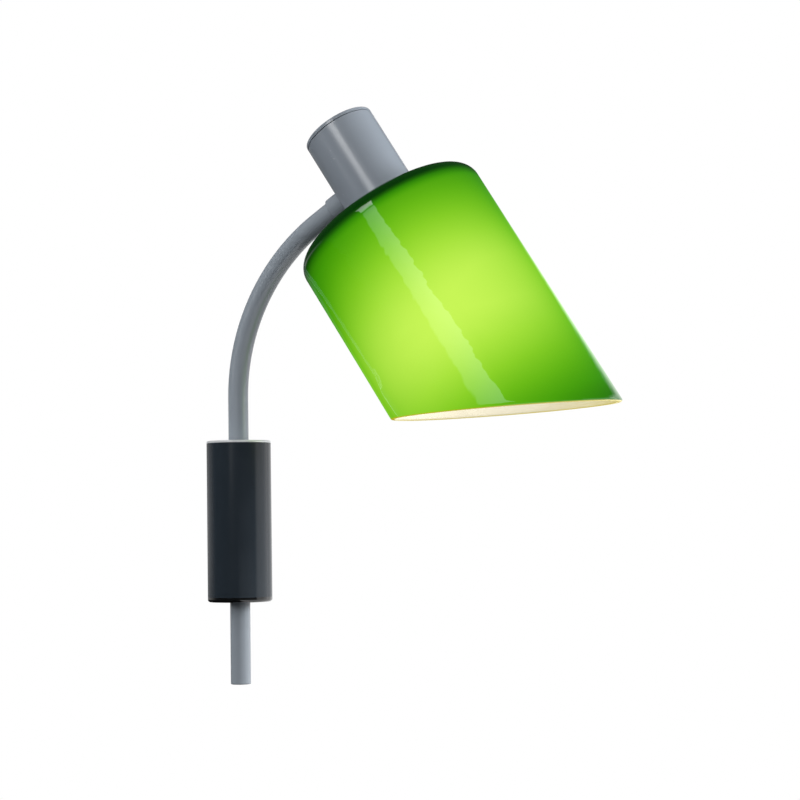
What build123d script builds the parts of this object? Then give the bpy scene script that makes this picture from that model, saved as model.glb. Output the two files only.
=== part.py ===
from build123d import *
import os
from math import asin, cos, degrees, radians, sin, sqrt

# Gooseneck wall sconce. Millimetres. The wall is the plane y = 0 and the lamp stands out
# towards -y, +z is up, and the origin is midway between the two wall screws.
# Three groups of pieces: the base on the wall, the arm that turns in it about a vertical
# line, and the head that turns on the arm's upper end.

# ---- fits, shared by every mating pair ----
fit_gap = 0.05              # radial gap of a seated or turning fit
thrust_gap = 0.05           # gap under a thrust face
loose_gap = 0.3             # gap of a screw in its clearance hole

# ---- housing ----
housing_radius = 20.0
housing_wall = 2.0
housing_height = 100.0      # over both caps
upper_flange = 1.4          # bright lip of the upper cap
lower_flange = 3.0          # black rim of the lower cap
lower_flange_round = 1.6
upper_flange_round = 0.9
cap_depth = 8.0             # how far both caps reach into the tube
cap_screw_angle = 60.0      # from +x, so that the cradle covers the heads
cap_screw_play = 2.5        # from the screws' ends to the bush
cap_screw_sink = 0.3        # how far the heads lie inside the tube's surface
bush_setback = 0.2          # the upper bush ends this far below the lip
lower_bush_setback = 0.5
bush_wall = 2.25
bush_length = 5.0
bush_flange_width = 1.5
bush_flange = 1.5

# ---- wall bracket ----
bracket_width = 28.0
bracket_setback = 4.0       # from the housing's ends
bracket_web = 4.0           # thickness behind the housing's middle
bracket_depth = 7.5
bracket_round = 0.8
wall_screw_spacing = 66.0
wall_screw_hole = 4.5
wall_screw_head = 8.0
hook_spacing = 36.0
hook_shaft = 4.0
hook_head = 8.0
hook_head_thickness = 1.5
hook_travel = 8.0           # how far the housing slides down on its hooks
hook_play = 0.15            # between a hook's head and the housing's inside
hook_setback = 0.4          # the studs end this far inside the bracket's back
grommet_lip = 1.5           # wider than the hole
grommet_lip_thickness = 1.2
grommet_setback = 0.5
cable_hole = 10.0
cable_size = 6.5
tab_width = 8.0
tab_thickness = 3.0

# ---- terminals ----
terminal_carrier_depth = 4.0
terminal_width = 15.0
terminal_play = 1.15        # from the block to the arm tube
terminal_height = 20.0
terminal_bottom = 10.0
terminal_pitch = 7.5
terminal_screw_radius = 1.5
terminal_screw_length = 2.8
terminal_screw_sink = 0.2
terminal_well_depth = 3.2
terminal_wire_radius = 1.2
terminal_wire_back = 1.7    # from the block's back
carrier_tail = 6.0          # how far the terminal carrier reaches below its block
earth_head_play = 2.5       # beside the head, between bush and housing
earth_head_height = 2.4
earth_screw_length = 6.0

# ---- arm ----
tube_radius = 6.25
tube_wall = 1.25
tail_length = 51.0          # below the housing, plug included
straight_above_housing = 27.2
bend_radius = 125.0
bend_angle = 57.85
run_to_cup_axis = 42.9      # straight, from the end of the bend to the cup's axis
arm_yaw = 26.5              # from the wall, in the stored pose
arm_swivel_back = 5.0       # towards the wall from the stored pose
arm_swivel_front = 132.0    # out and round to the other side
stop_play = 1.5             # the stops lie this many degrees past the joints' limits
plug_flange = 1.0
plug_depth = 8.0
window_width = 7.0
window_length = 16.0
window_centre = 2.0

# ---- support collar and its screw ----
collar_wall = 4.75
collar_height = 10.0
washer_thickness = 1.0
stop_screw_size = 4.0
stop_head = 7.0
stop_head_play = 3.0        # from the head to the housing
stop_hex_radius = 1.6
stop_hex_depth = 2.0
rib_play = 1.55             # from the rib to the collar
rib_height = 10.0

# ---- joint between arm and head ----
swivel_height = 24.2        # above the glass's top face, on the cup's axis
head_roll = 1.86            # the head's lean about the end of the arm, as photographed
head_swivel_limit = 90.0    # each way
socket_wall = 1.35
socket_reach = 8.4          # beyond the cup's wall
socket_floor = 2.0
socket_round = 1.0
friction_washer_thickness = 0.5
nipple_wall = 1.5
nipple_grip = 14.0          # length held in the tube
nut_wall = 2.0
nut_thickness = 3.0
nipple_end = 0.8            # stands proud of the nut
saddle_width = 2.0          # outside the stop washer
saddle_edge = 0.8
disc_width = 2.0            # of the spring washer and the stop washer
spring_washer_thickness = 0.8
spring_washer_split = 0.8
spring_washer_slope = 25.0
stop_washer_thickness = 1.2
stop_tab_angle = 24.0
rib_to_nut = 0.3
lead_play = 0.4             # round the lead in the nipple

# ---- cup ----
cup_radius = 22.65
cup_wall = 1.2
cup_length = 63.9           # glass's top face to the top of the end cap
cup_cap_flange = 2.3
cup_cap_groove = 0.5
cup_cap_depth = 7.0
cup_cap_round = 0.9
cup_lip = 2.0               # height of the inner lip that the carrier disc sits on
cup_lip_depth = 1.3
cup_cap_wall = 2.0          # of the cap's spigot
carrier_thickness = 2.0
wire_hole_x = 4.5
wire_hole_radius = 1.4

# ---- lampholder and bulb (small screw cap, 14 mm) ----
holder_radius = 14.0
holder_floor = 4.0
holder_length = 32.8
holder_mouth = 7.0          # height of the wide mouth
holder_mouth_wall = 3.0
holder_screw_setback = 4.5  # from the lampholder's side
holder_screw_head = 5.5
holder_screw_depth = 3.4
shell_radius = 7.5
shell_wall = 0.45
shell_length = 16.0
contact_radius = 2.2
contact_height = 2.0
bulb_tip_radius = 2.4
bulb_insulator_step = 1.7
bulb_cap_play = 0.6         # round the bulb's cap in the shell
bulb_cap_length = 19.0
bulb_tip_height = 3.0
bulb_neck_length = 5.0
bulb_base_length = 17.0
bulb_base_radius = 14.0
globe_radius = 22.5
globe_wall = 1.0

# ---- glass shade ----
shade_radius = 61.0
glass_wall = 3.0
shoulder_radius = 9.0
axis_length = 142.4         # top face to the mouth's plane, on the shade's axis
mouth_slant = 29.2
glass_hole_cover = 0.15     # the slipped hole ends this far inside the cup's edge
rim_round = 1.1
gasket_thickness = 0.8
gasket_setback = 0.2
shade_ring_cover = 7.75     # over the glass round its hole
shade_ring_flange = 2.5
shade_ring_wall = 3.0
shade_ring_length = 10.0
shade_ring_notches = 12
shade_ring_notch = 1.5

# ---- screws ----
m3 = 3.0
m3_head = 6.0
m3_head_height = 2.0
m4 = 4.0
lock_recess = 0.3           # how far the lock screw's head lies inside the lower cap

# ---- places that follow from the sizes above ----
wall_distance = housing_radius + bracket_web
bracket_height = housing_height - 2 * bracket_setback
housing_top = housing_height / 2
housing_bottom = -housing_height / 2
tube_bore = tube_radius - tube_wall
housing_bore = housing_radius - housing_wall
bush_radius = tube_radius + bush_wall
bush_flange_radius = bush_radius + bush_flange_width
collar_radius = tube_radius + collar_wall
socket_radius = tube_radius + socket_wall
nipple_radius = tube_bore
nipple_bore = nipple_radius - nipple_wall
lead_radius = nipple_bore - lead_play
nut_across_flats = 2 * (nipple_radius + nut_wall)
disc_radius = nipple_radius + disc_width
saddle_radius = disc_radius + saddle_width
upper_cap_bottom = housing_top - upper_flange - cap_depth
lower_cap_top = housing_bottom + lower_flange + cap_depth
thrust_washer_z = lower_cap_top + bush_flange
collar_bottom = thrust_washer_z + washer_thickness + thrust_gap
stop_screw_z = collar_bottom + collar_height / 2
head_pitch = 90.0 - bend_angle
bend_start = housing_top + straight_above_housing
cup_bore = cup_radius - cup_wall
holder_screw_spacing = 2 * (holder_radius - holder_screw_setback)
glass_hole = cup_radius + holder_radius - glass_hole_cover
shade_ring_radius = glass_hole / 2 + shade_ring_cover
bulb_cap_radius = shell_radius - bulb_cap_play
shade_slip = (glass_hole - 2 * holder_radius) / 2 - fit_gap
cup_tube_top = cup_length - cup_cap_flange - cup_cap_groove
carrier_bottom = gasket_thickness + cup_lip
holder_bottom = carrier_bottom - holder_length
bulb_tip_z = carrier_bottom - holder_floor - contact_height
upper_bush_top = housing_top - bush_setback
upper_bush_bottom = upper_bush_top - bush_length
tab_reach = wall_distance - collar_radius - 2 * loose_gap
tab_z = lower_cap_top + loose_gap + tab_thickness / 2
lock_screw_y = m3 + fit_gap - tab_reach
lock_screw_length = tab_z + tab_thickness / 2 - housing_bottom - lock_recess
cap_screw_length = housing_radius - bush_radius - cap_screw_play
terminal_back = housing_bore - terminal_carrier_depth
terminal_depth = terminal_back - tube_radius - terminal_play
earth_screw_x = (bush_radius + housing_bore) / 2
earth_head = housing_bore - bush_radius - earth_head_play
stop_head_length = housing_bore - collar_radius - stop_head_play
countersink = (m3_head - m3) / 2

# distances along the arm's end, measured from the cup's axis
socket_floor_at = cup_radius + socket_floor
tube_end_at = socket_floor_at + friction_washer_thickness + thrust_gap
saddle_flat_at = sqrt(cup_bore**2 - saddle_radius**2) - saddle_edge
stop_washer_at = saddle_flat_at - spring_washer_thickness - thrust_gap
nut_at = stop_washer_at - stop_washer_thickness
nipple_end_at = nut_at - nut_thickness - nipple_end

# frames: base, arm, head and the turning line at the end of the arm
base_place = Pos(0, -wall_distance, 0)
arm_place = base_place * Rot(0, 0, -arm_yaw)
bend_rise = bend_radius * sin(radians(bend_angle))
bend_reach = bend_radius * (1 - cos(radians(bend_angle)))
cup_centre_x = bend_reach + run_to_cup_axis * cos(radians(head_pitch))
cup_centre_z = bend_start + bend_rise + run_to_cup_axis * sin(radians(head_pitch))
arm_end_place = arm_place * Pos(cup_centre_x, 0, cup_centre_z) * Rot(0, -head_pitch, 0)
head_place = arm_end_place * Rot(head_roll, 0, 0) * Pos(0, 0, -swivel_height)
along_arm_end = Rot(0, -90, 0)
arm_swivel_place = arm_end_place * along_arm_end
head_swivel_place = arm_end_place * Rot(head_roll, 0, 0) * along_arm_end


def ring(outer, inner, low, high):
    """A turned ring, or a disc where inner is 0, between two heights."""
    body = Pos(0, 0, (low + high) / 2) * Cylinder(outer, high - low)
    if inner > 0:
        body -= Pos(0, 0, (low + high) / 2) * Cylinder(inner, high - low + 1)
    return body


def turned(*points):
    """A solid turned about the z axis from an outline of (radius, height) points."""
    outline = Polyline(*[(radius, 0, height) for radius, height in points], close=True)
    return revolve(make_face(outline), Axis.Z, 360)


def rounded(body, radius, low, high, size):
    """Rounds the circular edges of a body that have a given radius and height."""
    chosen = [
        edge for edge in body.edges().filter_by(GeomType.CIRCLE)
        if abs(edge.radius - radius) < 1e-3 and low <= edge.center(CenterOf.BOUNDING_BOX).Z <= high
    ]
    return fillet(chosen, size)


def sector(outer, inner, low, high, middle, width):
    """A part of a ring, as wide as an angle in degrees about a middle angle."""
    arc = sector_outline(outer, inner, middle, width)
    return Pos(0, 0, low) * extrude(arc, high - low)


def sector_outline(outer, inner, middle, width):
    """The plan of a part of a ring."""
    start = middle - width / 2
    outer_arc = CenterArc((0, 0), outer, start, width)
    inner_arc = CenterArc((0, 0), inner, start, width)
    sides = [Line(outer_arc @ 0, inner_arc @ 0), Line(outer_arc @ 1, inner_arc @ 1)]
    return make_face([outer_arc, inner_arc] + sides)


def countersunk(length):
    """A small countersunk screw, its head's face at height 0 and its shank going down."""
    points = [(0, 0), (m3_head / 2, 0), (m3 / 2, -countersink), (m3 / 2, -length), (0, -length)]
    return turned(*points) - cross_recess(m3_head)


def cross_recess(head):
    """The cross slot of a screw head whose face is at height 0."""
    arm = Box(head * 0.5, head * 0.12, head * 0.3)
    return arm + Rot(0, 0, 90) * arm


def pan_screw(size, head, head_height, length):
    """A pan-headed screw, standing on height 0 with its shank going down."""
    body = ring(head / 2, 0, 0, head_height) + ring(size / 2, 0, -length, 0)
    body = rounded(body, head / 2, head_height - 0.01, head_height + 0.01, head_height * 0.4)
    return body - Pos(0, 0, head_height) * cross_recess(head)


# ---- base ----

def build_bracket():
    """Cradle with a flat back, wall-screw holes, hook holes, cable hole and the lock tab."""
    plan = Pos(0, -bracket_depth / 2) * RectangleRounded(bracket_width, bracket_depth, bracket_round)
    plan -= Pos(0, -wall_distance) * Circle(housing_radius + fit_gap)
    body = Pos(0, 0, -bracket_height / 2) * extrude(plan, bracket_height)
    front = -(bracket_web - fit_gap)
    sink = (wall_screw_head - wall_screw_hole) / 2
    for z in (-wall_screw_spacing / 2, wall_screw_spacing / 2):
        hole = Cylinder(wall_screw_hole / 2, 3 * bracket_depth)
        hole += Pos(0, 0, -front - sink / 2) * Cone(wall_screw_hole / 2, wall_screw_head / 2, sink)
        hole += ring(wall_screw_head / 2, 0, -front, bracket_depth)
        body -= Pos(0, 0, z) * Rot(90, 0, 0) * hole
    for z in (-hook_spacing / 2, hook_spacing / 2):
        body -= Pos(0, 0, z) * Rot(90, 0, 0) * Cylinder(hook_shaft / 2 + fit_gap, 3 * bracket_depth)
    body -= Rot(90, 0, 0) * Cylinder(cable_hole / 2, 3 * bracket_depth)
    tab = Pos(0, (front - tab_reach) / 2, tab_z) * Box(tab_width, front + tab_reach, tab_thickness)
    body += tab
    lock = Pos(0, lock_screw_y, tab_z) * Cylinder(m3 / 2 + fit_gap, 2 * tab_thickness)
    return body - lock


def build_hooks():
    """Two headed studs, pressed in the bracket."""
    shaft_front = wall_distance - sqrt(housing_bore**2 - (hook_head / 2) ** 2) + hook_play
    stud = ring(hook_shaft / 2, 0, hook_setback, shaft_front + hook_head_thickness)
    stud += ring(hook_head / 2, 0, shaft_front, shaft_front + hook_head_thickness)
    stud = Rot(90, 0, 0) * stud
    return [Pos(0, 0, z) * stud for z in (-hook_spacing / 2, hook_spacing / 2)]


def build_housing():
    """The dark tube with its keyholes, tab slot, cable hole and cap-screw holes."""
    body = ring(housing_radius, housing_bore, housing_bottom + lower_flange, housing_top - upper_flange)
    back = housing_radius
    reach = 6 * housing_wall
    for z in (-hook_spacing / 2, hook_spacing / 2):
        slot = Box(hook_shaft + loose_gap, reach, hook_travel)
        slot = Pos(0, back, z - hook_travel / 2) * slot
        slot += Pos(0, back, z) * Rot(90, 0, 0) * Cylinder((hook_shaft + loose_gap) / 2, reach)
        slot += Pos(0, back, z - hook_travel) * Rot(90, 0, 0) * Cylinder(hook_head / 2 + loose_gap, reach)
        body -= slot
    body -= Pos(0, back, 0) * Rot(90, 0, 0) * Cylinder(cable_hole / 2, reach)
    tab_slot = Box(tab_width + loose_gap, reach, tab_thickness + loose_gap)
    body -= Pos(0, back, tab_z) * tab_slot
    for screw in cap_screw_places():
        body -= screw * countersunk_space()
    return body


def cap_screw_places():
    """Where the two cap screws enter the housing, behind the cradle."""
    heights = (housing_top - upper_flange - cap_depth / 2, housing_bottom + lower_flange + cap_depth / 2)
    turn = Rot(0, 0, cap_screw_angle)
    return [turn * Pos(housing_radius - cap_screw_sink, 0, z) * Rot(0, 90, 0) for z in heights]


def countersunk_space():
    """The hole that a cap screw fills, a fit gap wider than the screw."""
    shank = ring(m3 / 2 + fit_gap, 0, -cap_screw_length - fit_gap, 0)
    return shank + countersink_space(0)


def countersink_space(recess):
    """The space of a countersunk head whose face lies a recess below height 0, opening upwards."""
    wide = m3_head / 2 + fit_gap
    narrow = m3 / 2 + fit_gap
    low = -recess - countersink
    return turned((0, 1), (wide, 1), (wide, -recess), (narrow, low), (0, low))


def build_upper_cap():
    """Turned disc with a bright lip, bored for the bush and the friction ring."""
    body = ring(housing_bore - fit_gap, bush_radius + fit_gap, upper_cap_bottom, housing_top)
    lip = ring(housing_radius, bush_radius + fit_gap, housing_top - upper_flange, housing_top)
    body += rounded(lip, housing_radius, housing_top - 0.01, housing_top + 0.01, upper_flange_round)
    body -= cap_screw_places()[0] * countersunk_space()
    earth = ring(m4 / 2 + fit_gap, 0, upper_cap_bottom - 1, upper_cap_bottom + earth_screw_length + fit_gap)
    return body - Pos(earth_screw_x, 0, 0) * earth


def build_lower_cap():
    """Black cap with a rounded rim, a bore for the bush and the stop rib."""
    body = ring(housing_bore - fit_gap, bush_radius + fit_gap, housing_bottom, lower_cap_top)
    rim = ring(housing_radius, bush_radius + fit_gap, housing_bottom, housing_bottom + lower_flange)
    body += rounded(rim, housing_radius, housing_bottom - 0.01, housing_bottom + 0.01, lower_flange_round)
    rib_outer = housing_bore - fit_gap
    rib_inner = collar_radius + rib_play
    screw_half = degrees(asin(stop_head / 2 / rib_inner))
    free = arm_swivel_back + arm_swivel_front + 2 * (screw_half + stop_play)
    middle = stop_rib_middle()
    body += sector(rib_outer, rib_inner, lower_cap_top - 1, lower_cap_top + rib_height, middle, 360 - free)
    body -= cap_screw_places()[1] * countersunk_space()
    lock_at = Pos(0, lock_screw_y + wall_distance, housing_bottom)
    body -= lock_at * Cylinder(m3 / 2 + loose_gap / 2, 3 * cap_depth)
    return body - lock_at * Rot(180, 0, 0) * countersink_space(lock_recess)


def stop_rib_middle():
    """The middle angle of the stop rib: opposite the middle of the stop screw's path."""
    screw_at_rest = 180.0 - arm_yaw
    screw_middle = screw_at_rest - (arm_swivel_front - arm_swivel_back) / 2
    return screw_middle - 180.0


def tube_ring(outer, low, high):
    """A ring that the arm tube turns in, between two heights."""
    return ring(outer, tube_radius + fit_gap, low, high)


def build_lower_bush():
    """Lower bearing of the arm, with a flange on the lower cap."""
    body = tube_ring(bush_radius, housing_bottom + lower_bush_setback, lower_cap_top)
    return body + tube_ring(bush_flange_radius, lower_cap_top, thrust_washer_z)


def build_lock_screw():
    """Goes up through the lower cap into the bracket's tab."""
    screw = Rot(180, 0, 0) * countersunk(lock_screw_length)
    return Pos(0, lock_screw_y, housing_bottom + lock_recess) * screw


def build_grommet():
    """Rubber sleeve through the bracket and the housing's back, with a lip inside."""
    lip_radius = cable_hole / 2 + grommet_lip
    inside = wall_distance - sqrt(housing_bore**2 - lip_radius**2) + 2 * fit_gap
    sleeve = ring(cable_hole / 2 - fit_gap, cable_size / 2, grommet_setback, inside)
    lip = ring(lip_radius, cable_size / 2, inside, inside + grommet_lip_thickness)
    return Rot(90, 0, 0) * (sleeve + lip)


def build_terminal_carrier():
    """Moulded segment that lies in the tube's front and hangs from the upper cap."""
    bar = ring(housing_bore - fit_gap, 0, terminal_bottom - carrier_tail, upper_cap_bottom)
    keep = Box(2 * housing_radius, 2 * housing_radius, housing_height)
    return bar & (Pos(0, -terminal_back - housing_radius, 0) * keep)


def build_terminal_block():
    """Two-pole block on the carrier, with wire holes from below and screw wells."""
    middle = Pos(0, -terminal_back + terminal_depth / 2, terminal_bottom + terminal_height / 2)
    body = middle * Box(terminal_width, terminal_depth, terminal_height)
    well = Rot(-90, 0, 0) * ring(terminal_screw_radius + fit_gap, 0, -terminal_well_depth, 1)
    for x, z in terminal_screw_spots():
        body -= Pos(x, -terminal_back + terminal_depth, z) * well
    wire_hole = ring(terminal_wire_radius, 0, terminal_bottom - 1, terminal_bottom + terminal_height + 1)
    for x in (-terminal_pitch / 2, terminal_pitch / 2):
        body -= Pos(x, -terminal_back + terminal_wire_back, 0) * wire_hole
    return body


def terminal_screw_spots():
    """Places of the four clamp screws on the block's face."""
    return [
        (x, terminal_bottom + terminal_height * share)
        for x in (-terminal_pitch / 2, terminal_pitch / 2)
        for share in (0.25, 0.75)
    ]


def build_terminal_screws():
    """Four slotted clamp screws in their wells."""
    screw = ring(terminal_screw_radius, 0, -terminal_screw_length, 0)
    screw -= Box(2 * terminal_screw_radius + 1, terminal_screw_radius / 3, terminal_screw_length / 2)
    screw = Rot(-90, 0, 0) * screw
    face = -terminal_back + terminal_depth - terminal_screw_sink
    return [Pos(x, face, z) * screw for x, z in terminal_screw_spots()]


def build_earth_screw():
    """Pan-headed screw in the upper cap's underside."""
    screw = Rot(180, 0, 0) * pan_screw(m4, earth_head, earth_head_height, earth_screw_length)
    return Pos(earth_screw_x, 0, upper_cap_bottom) * screw


# ---- arm ----

def tube_path(start_z, end_at):
    """The arm's centre line from a height up to a distance from the cup's axis."""
    run = run_to_cup_axis - end_at
    direction = (sin(radians(bend_angle)), 0, cos(radians(bend_angle)))
    bend_end = (bend_reach, 0, bend_start + bend_rise)
    half = radians(bend_angle / 2)
    bend_middle = (bend_radius * (1 - cos(half)), 0, bend_start + bend_radius * sin(half))
    end = tuple(bend_end[i] + run * direction[i] for i in range(3))
    stem = Line((0, 0, start_z), (0, 0, bend_start))
    return stem + ThreePointArc((0, 0, bend_start), bend_middle, bend_end) + Line(bend_end, end)


def swept_rod(radius, start_z, end_at):
    """A round rod along the arm's centre line."""
    section = Pos(0, 0, start_z) * Circle(radius)
    return sweep(section, path=tube_path(start_z, end_at))


def build_arm_tube():
    """The bent tube, with the window that lets the lead in."""
    tail_z = housing_bottom - tail_length + plug_flange
    body = swept_rod(tube_radius, tail_z, tube_end_at) - swept_rod(tube_bore, tail_z, tube_end_at)
    slot = Pos(0, 0, -tube_radius / 2) * extrude(SlotOverall(window_length, window_width), tube_radius)
    return body - Pos(tube_radius, 0, window_centre) * Rot(0, 90, 0) * slot


def build_tail_plug():
    """Closes the tail: a flange as wide as the tube and a spigot in it."""
    low = housing_bottom - tail_length
    flange = ring(tube_radius, 0, low, low + plug_flange)
    flange = rounded(flange, tube_radius, low - 0.01, low + 0.01, plug_flange * 0.6)
    return flange + ring(tube_bore - fit_gap, 0, low + plug_flange, low + plug_flange + plug_depth)


def build_collar():
    """Ring clamped on the tube, tapped for the stop screw."""
    body = ring(collar_radius, tube_radius + fit_gap, collar_bottom, collar_bottom + collar_height)
    hole = Pos(-collar_radius, 0, stop_screw_z) * Rot(0, 90, 0)
    return body - hole * Cylinder(stop_screw_size / 2 + fit_gap, collar_radius)


def build_stop_screw():
    """Cap screw whose head runs against the stop rib."""
    shank = ring(stop_screw_size / 2, 0, tube_radius + fit_gap, collar_radius)
    head = ring(stop_head / 2, 0, collar_radius, collar_radius + stop_head_length)
    socket = extrude(RegularPolygon(stop_hex_radius, 6), stop_hex_depth)
    head -= Pos(0, 0, collar_radius + stop_head_length - stop_hex_depth) * socket
    return Pos(0, 0, stop_screw_z) * Rot(0, -90, 0) * (shank + head)


def build_nipple():
    """Hollow threaded nipple held in the tube's end."""
    return ring(nipple_radius - fit_gap, nipple_bore, nipple_end_at, tube_end_at + nipple_grip)


def build_stop_washer():
    """Washer with a tab that meets the saddle's rib at the limits."""
    body = ring(disc_radius, nipple_radius, nut_at, stop_washer_at)
    tab = sector(saddle_radius, disc_radius - 1, nut_at, stop_washer_at, 0, stop_tab_angle)
    return body + tab


def build_swivel_nut():
    """Thin hexagon nut on the nipple."""
    hexagon = RegularPolygon(nut_across_flats / 2, 6, major_radius=False)
    body = Pos(0, 0, nut_at - nut_thickness) * extrude(hexagon, nut_thickness)
    return body - ring(nipple_radius, 0, nut_at - 2 * nut_thickness, nut_at + 1)


def build_lead():
    """The sheathed lead, from the window up the tube and through the nipple."""
    return swept_rod(lead_radius, window_centre - window_length / 2, nipple_end_at)


# ---- head: pieces on the turning line ----

def cup_cylinder(radius):
    """A cylinder along the cup's axis, seen from the turning line's frame."""
    return Rot(0, 90, 0) * Cylinder(radius, 4 * cup_length)


def build_socket():
    """Collar brazed on the cup, which the arm's end enters."""
    end = cup_radius + socket_reach
    body = ring(socket_radius, nipple_radius + fit_gap, cup_radius - 2, end)
    body = rounded(body, socket_radius, end - 0.01, end + 0.01, socket_round)
    body -= ring(tube_radius + fit_gap, 0, socket_floor_at, end + 1)
    return body - cup_cylinder(cup_radius + fit_gap)


def build_friction_washer():
    """Thin plastic washer between the tube's end and the socket's floor."""
    high = socket_floor_at + friction_washer_thickness
    return ring(tube_radius - fit_gap, nipple_radius + fit_gap, socket_floor_at, high)


def build_saddle():
    """Inner washer, hollow side flat, with the rib that the stop tab meets."""
    body = ring(saddle_radius, nipple_radius + fit_gap, saddle_flat_at, cup_bore + 1)
    body &= cup_cylinder(cup_bore - fit_gap)
    free = 2 * (head_swivel_limit + stop_play) + stop_tab_angle
    rib_end = nut_at + rib_to_nut
    rib = sector(saddle_radius, disc_radius + 2 * fit_gap, rib_end, saddle_flat_at, 180, 360 - free)
    return body + rib


def build_spring_washer():
    """Split spring washer that gives the head's turn its friction."""
    low = saddle_flat_at - spring_washer_thickness
    body = ring(disc_radius, nipple_radius + 2 * fit_gap, low, saddle_flat_at)
    split = Box(disc_radius, spring_washer_split, 5 * spring_washer_thickness)
    return body - Pos(disc_radius, 0, saddle_flat_at) * Rot(spring_washer_slope, 0, 0) * split


# ---- head: pieces on the cup's axis, heights from the glass's top face ----

def build_cup():
    """The grey cup, with the lip for the carrier disc and the hole for the nipple."""
    body = ring(cup_radius, cup_bore, gasket_thickness, cup_tube_top)
    body += ring(cup_bore + cup_wall / 2, cup_bore - cup_lip_depth, gasket_thickness, carrier_bottom)
    hole = Pos(-cup_radius, 0, swivel_height) * Rot(0, 90, 0)
    return body - hole * Cylinder(nipple_radius + loose_gap, 6 * cup_wall)


def build_cup_cap():
    """End cap as wide as the cup, on a spigot that shows as a dark groove."""
    flange = ring(cup_radius, 0, cup_length - cup_cap_flange, cup_length)
    flange = rounded(flange, cup_radius, cup_length - 0.01, cup_length + 0.01, cup_cap_round)
    spigot_low = cup_length - cup_cap_flange - cup_cap_depth
    spigot = ring(cup_bore - fit_gap, cup_bore - cup_cap_wall, spigot_low, cup_length - cup_cap_flange)
    return flange + spigot


def build_carrier():
    """Disc on the cup's lip that carries the lampholder, with two wire holes."""
    body = ring(cup_bore - fit_gap, 0, carrier_bottom, carrier_bottom + carrier_thickness)
    for y in (-holder_screw_spacing / 2, holder_screw_spacing / 2):
        body -= Pos(0, y, carrier_bottom) * Cylinder(m3 / 2 + fit_gap, 4 * carrier_thickness)
    for x in (-wire_hole_x, wire_hole_x):
        body -= Pos(x, 0, carrier_bottom) * Cylinder(wire_hole_radius, 4 * carrier_thickness)
    return body


def build_holder():
    """Lampholder body: floor with screw and wire holes, bore for the shell, wide mouth."""
    low = holder_bottom
    floor = carrier_bottom - holder_floor
    body = ring(holder_radius, 0, low, carrier_bottom)
    body -= ring(shell_radius + fit_gap, 0, low - 1, floor)
    body -= ring(holder_radius - holder_mouth_wall, 0, low - 1, low + holder_mouth)
    for y in (-holder_screw_spacing / 2, holder_screw_spacing / 2):
        screw_hole = ring(m3 / 2 + fit_gap, 0, carrier_bottom - holder_screw_depth - fit_gap, carrier_bottom)
        body -= Pos(0, y, 0) * screw_hole
    for x in (-wire_hole_x, wire_hole_x):
        body -= Pos(x, 0, carrier_bottom) * Cylinder(wire_hole_radius, 4 * holder_floor)
    return body


def build_holder_screws():
    """Two pan-headed screws through the carrier into the lampholder."""
    screw = pan_screw(m3, holder_screw_head, m3_head_height, carrier_thickness + holder_screw_depth)
    top = carrier_bottom + carrier_thickness
    return [Pos(0, y, top) * screw for y in (-holder_screw_spacing / 2, holder_screw_spacing / 2)]


def build_shell():
    """Brass shell that the bulb screws into."""
    top = carrier_bottom - holder_floor
    body = ring(shell_radius, shell_radius - shell_wall, top - shell_length, top)
    rim_inner = shell_radius - 4 * shell_wall
    return body + ring(shell_radius - shell_wall / 2, rim_inner, top - shell_wall, top)


def build_contact():
    """Centre contact under the lampholder's floor."""
    top = carrier_bottom - holder_floor
    return ring(contact_radius, 0, top - contact_height, top)


def build_upper_gasket():
    """Soft ring between the glass and the cup."""
    return ring(cup_radius - gasket_setback, holder_radius + loose_gap, 0, gasket_thickness)


def build_lower_gasket():
    """Soft ring between the glass and the shade ring."""
    top = -glass_wall
    return ring(shade_ring_radius - gasket_setback, holder_radius + loose_gap, top - gasket_thickness, top)


def build_shade_ring():
    """Ring nut on the lampholder, notched for the fingers, that clamps the glass."""
    top = -glass_wall - gasket_thickness
    body = ring(shade_ring_radius, 0, top - shade_ring_flange, top)
    body += ring(holder_radius + shade_ring_wall, 0, top - shade_ring_length, top)
    body -= ring(holder_radius + fit_gap, 0, top - 2 * shade_ring_length, top + 1)
    notch = Cylinder(shade_ring_notch, 4 * shade_ring_flange)
    for count in range(shade_ring_notches):
        turn = Rot(0, 0, count * 360 / shade_ring_notches)
        body -= turn * Pos(shade_ring_radius + shade_ring_notch / 3, 0, top) * notch
    return body


def shade_solid(radius, top, corner):
    """A solid round-shouldered cylinder that is longer than the shade."""
    bottom = -2 * axis_length
    body = ring(radius, 0, bottom, top)
    return rounded(body, radius, top - 0.01, top + 0.01, corner)


def build_shade():
    """Blown-glass shade: round shoulder, hole for the lampholder and slanted mouth."""
    body = shade_solid(shade_radius, 0, shoulder_radius)
    body -= shade_solid(shade_radius - glass_wall, -glass_wall, shoulder_radius - glass_wall)
    body -= Cylinder(glass_hole / 2, 4 * glass_wall)
    cut = Box(8 * shade_radius, 8 * shade_radius, 4 * axis_length)
    body -= Pos(0, 0, -axis_length) * Rot(0, mouth_slant, 0) * Pos(0, 0, -2 * axis_length) * cut
    rim = body.faces().sort_by(lambda face: face.center().Z)[0]
    body = fillet(rim.edges(), rim_round)
    return Pos(-shade_slip, 0, 0) * body


# ---- head: bulb ----

def build_bulb_cap():
    """Metal screw cap of the bulb, with its insulator and tip."""
    tip = bulb_tip_z
    shoulder = tip - bulb_tip_height
    low = tip - bulb_cap_length
    return turned(
        (0, tip), (bulb_tip_radius * 0.8, tip), (bulb_tip_radius, tip - bulb_tip_height * 0.3),
        (bulb_cap_radius - bulb_insulator_step, shoulder), (bulb_cap_radius, shoulder - 1),
        (bulb_cap_radius, low), (0, low),
    )


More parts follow.
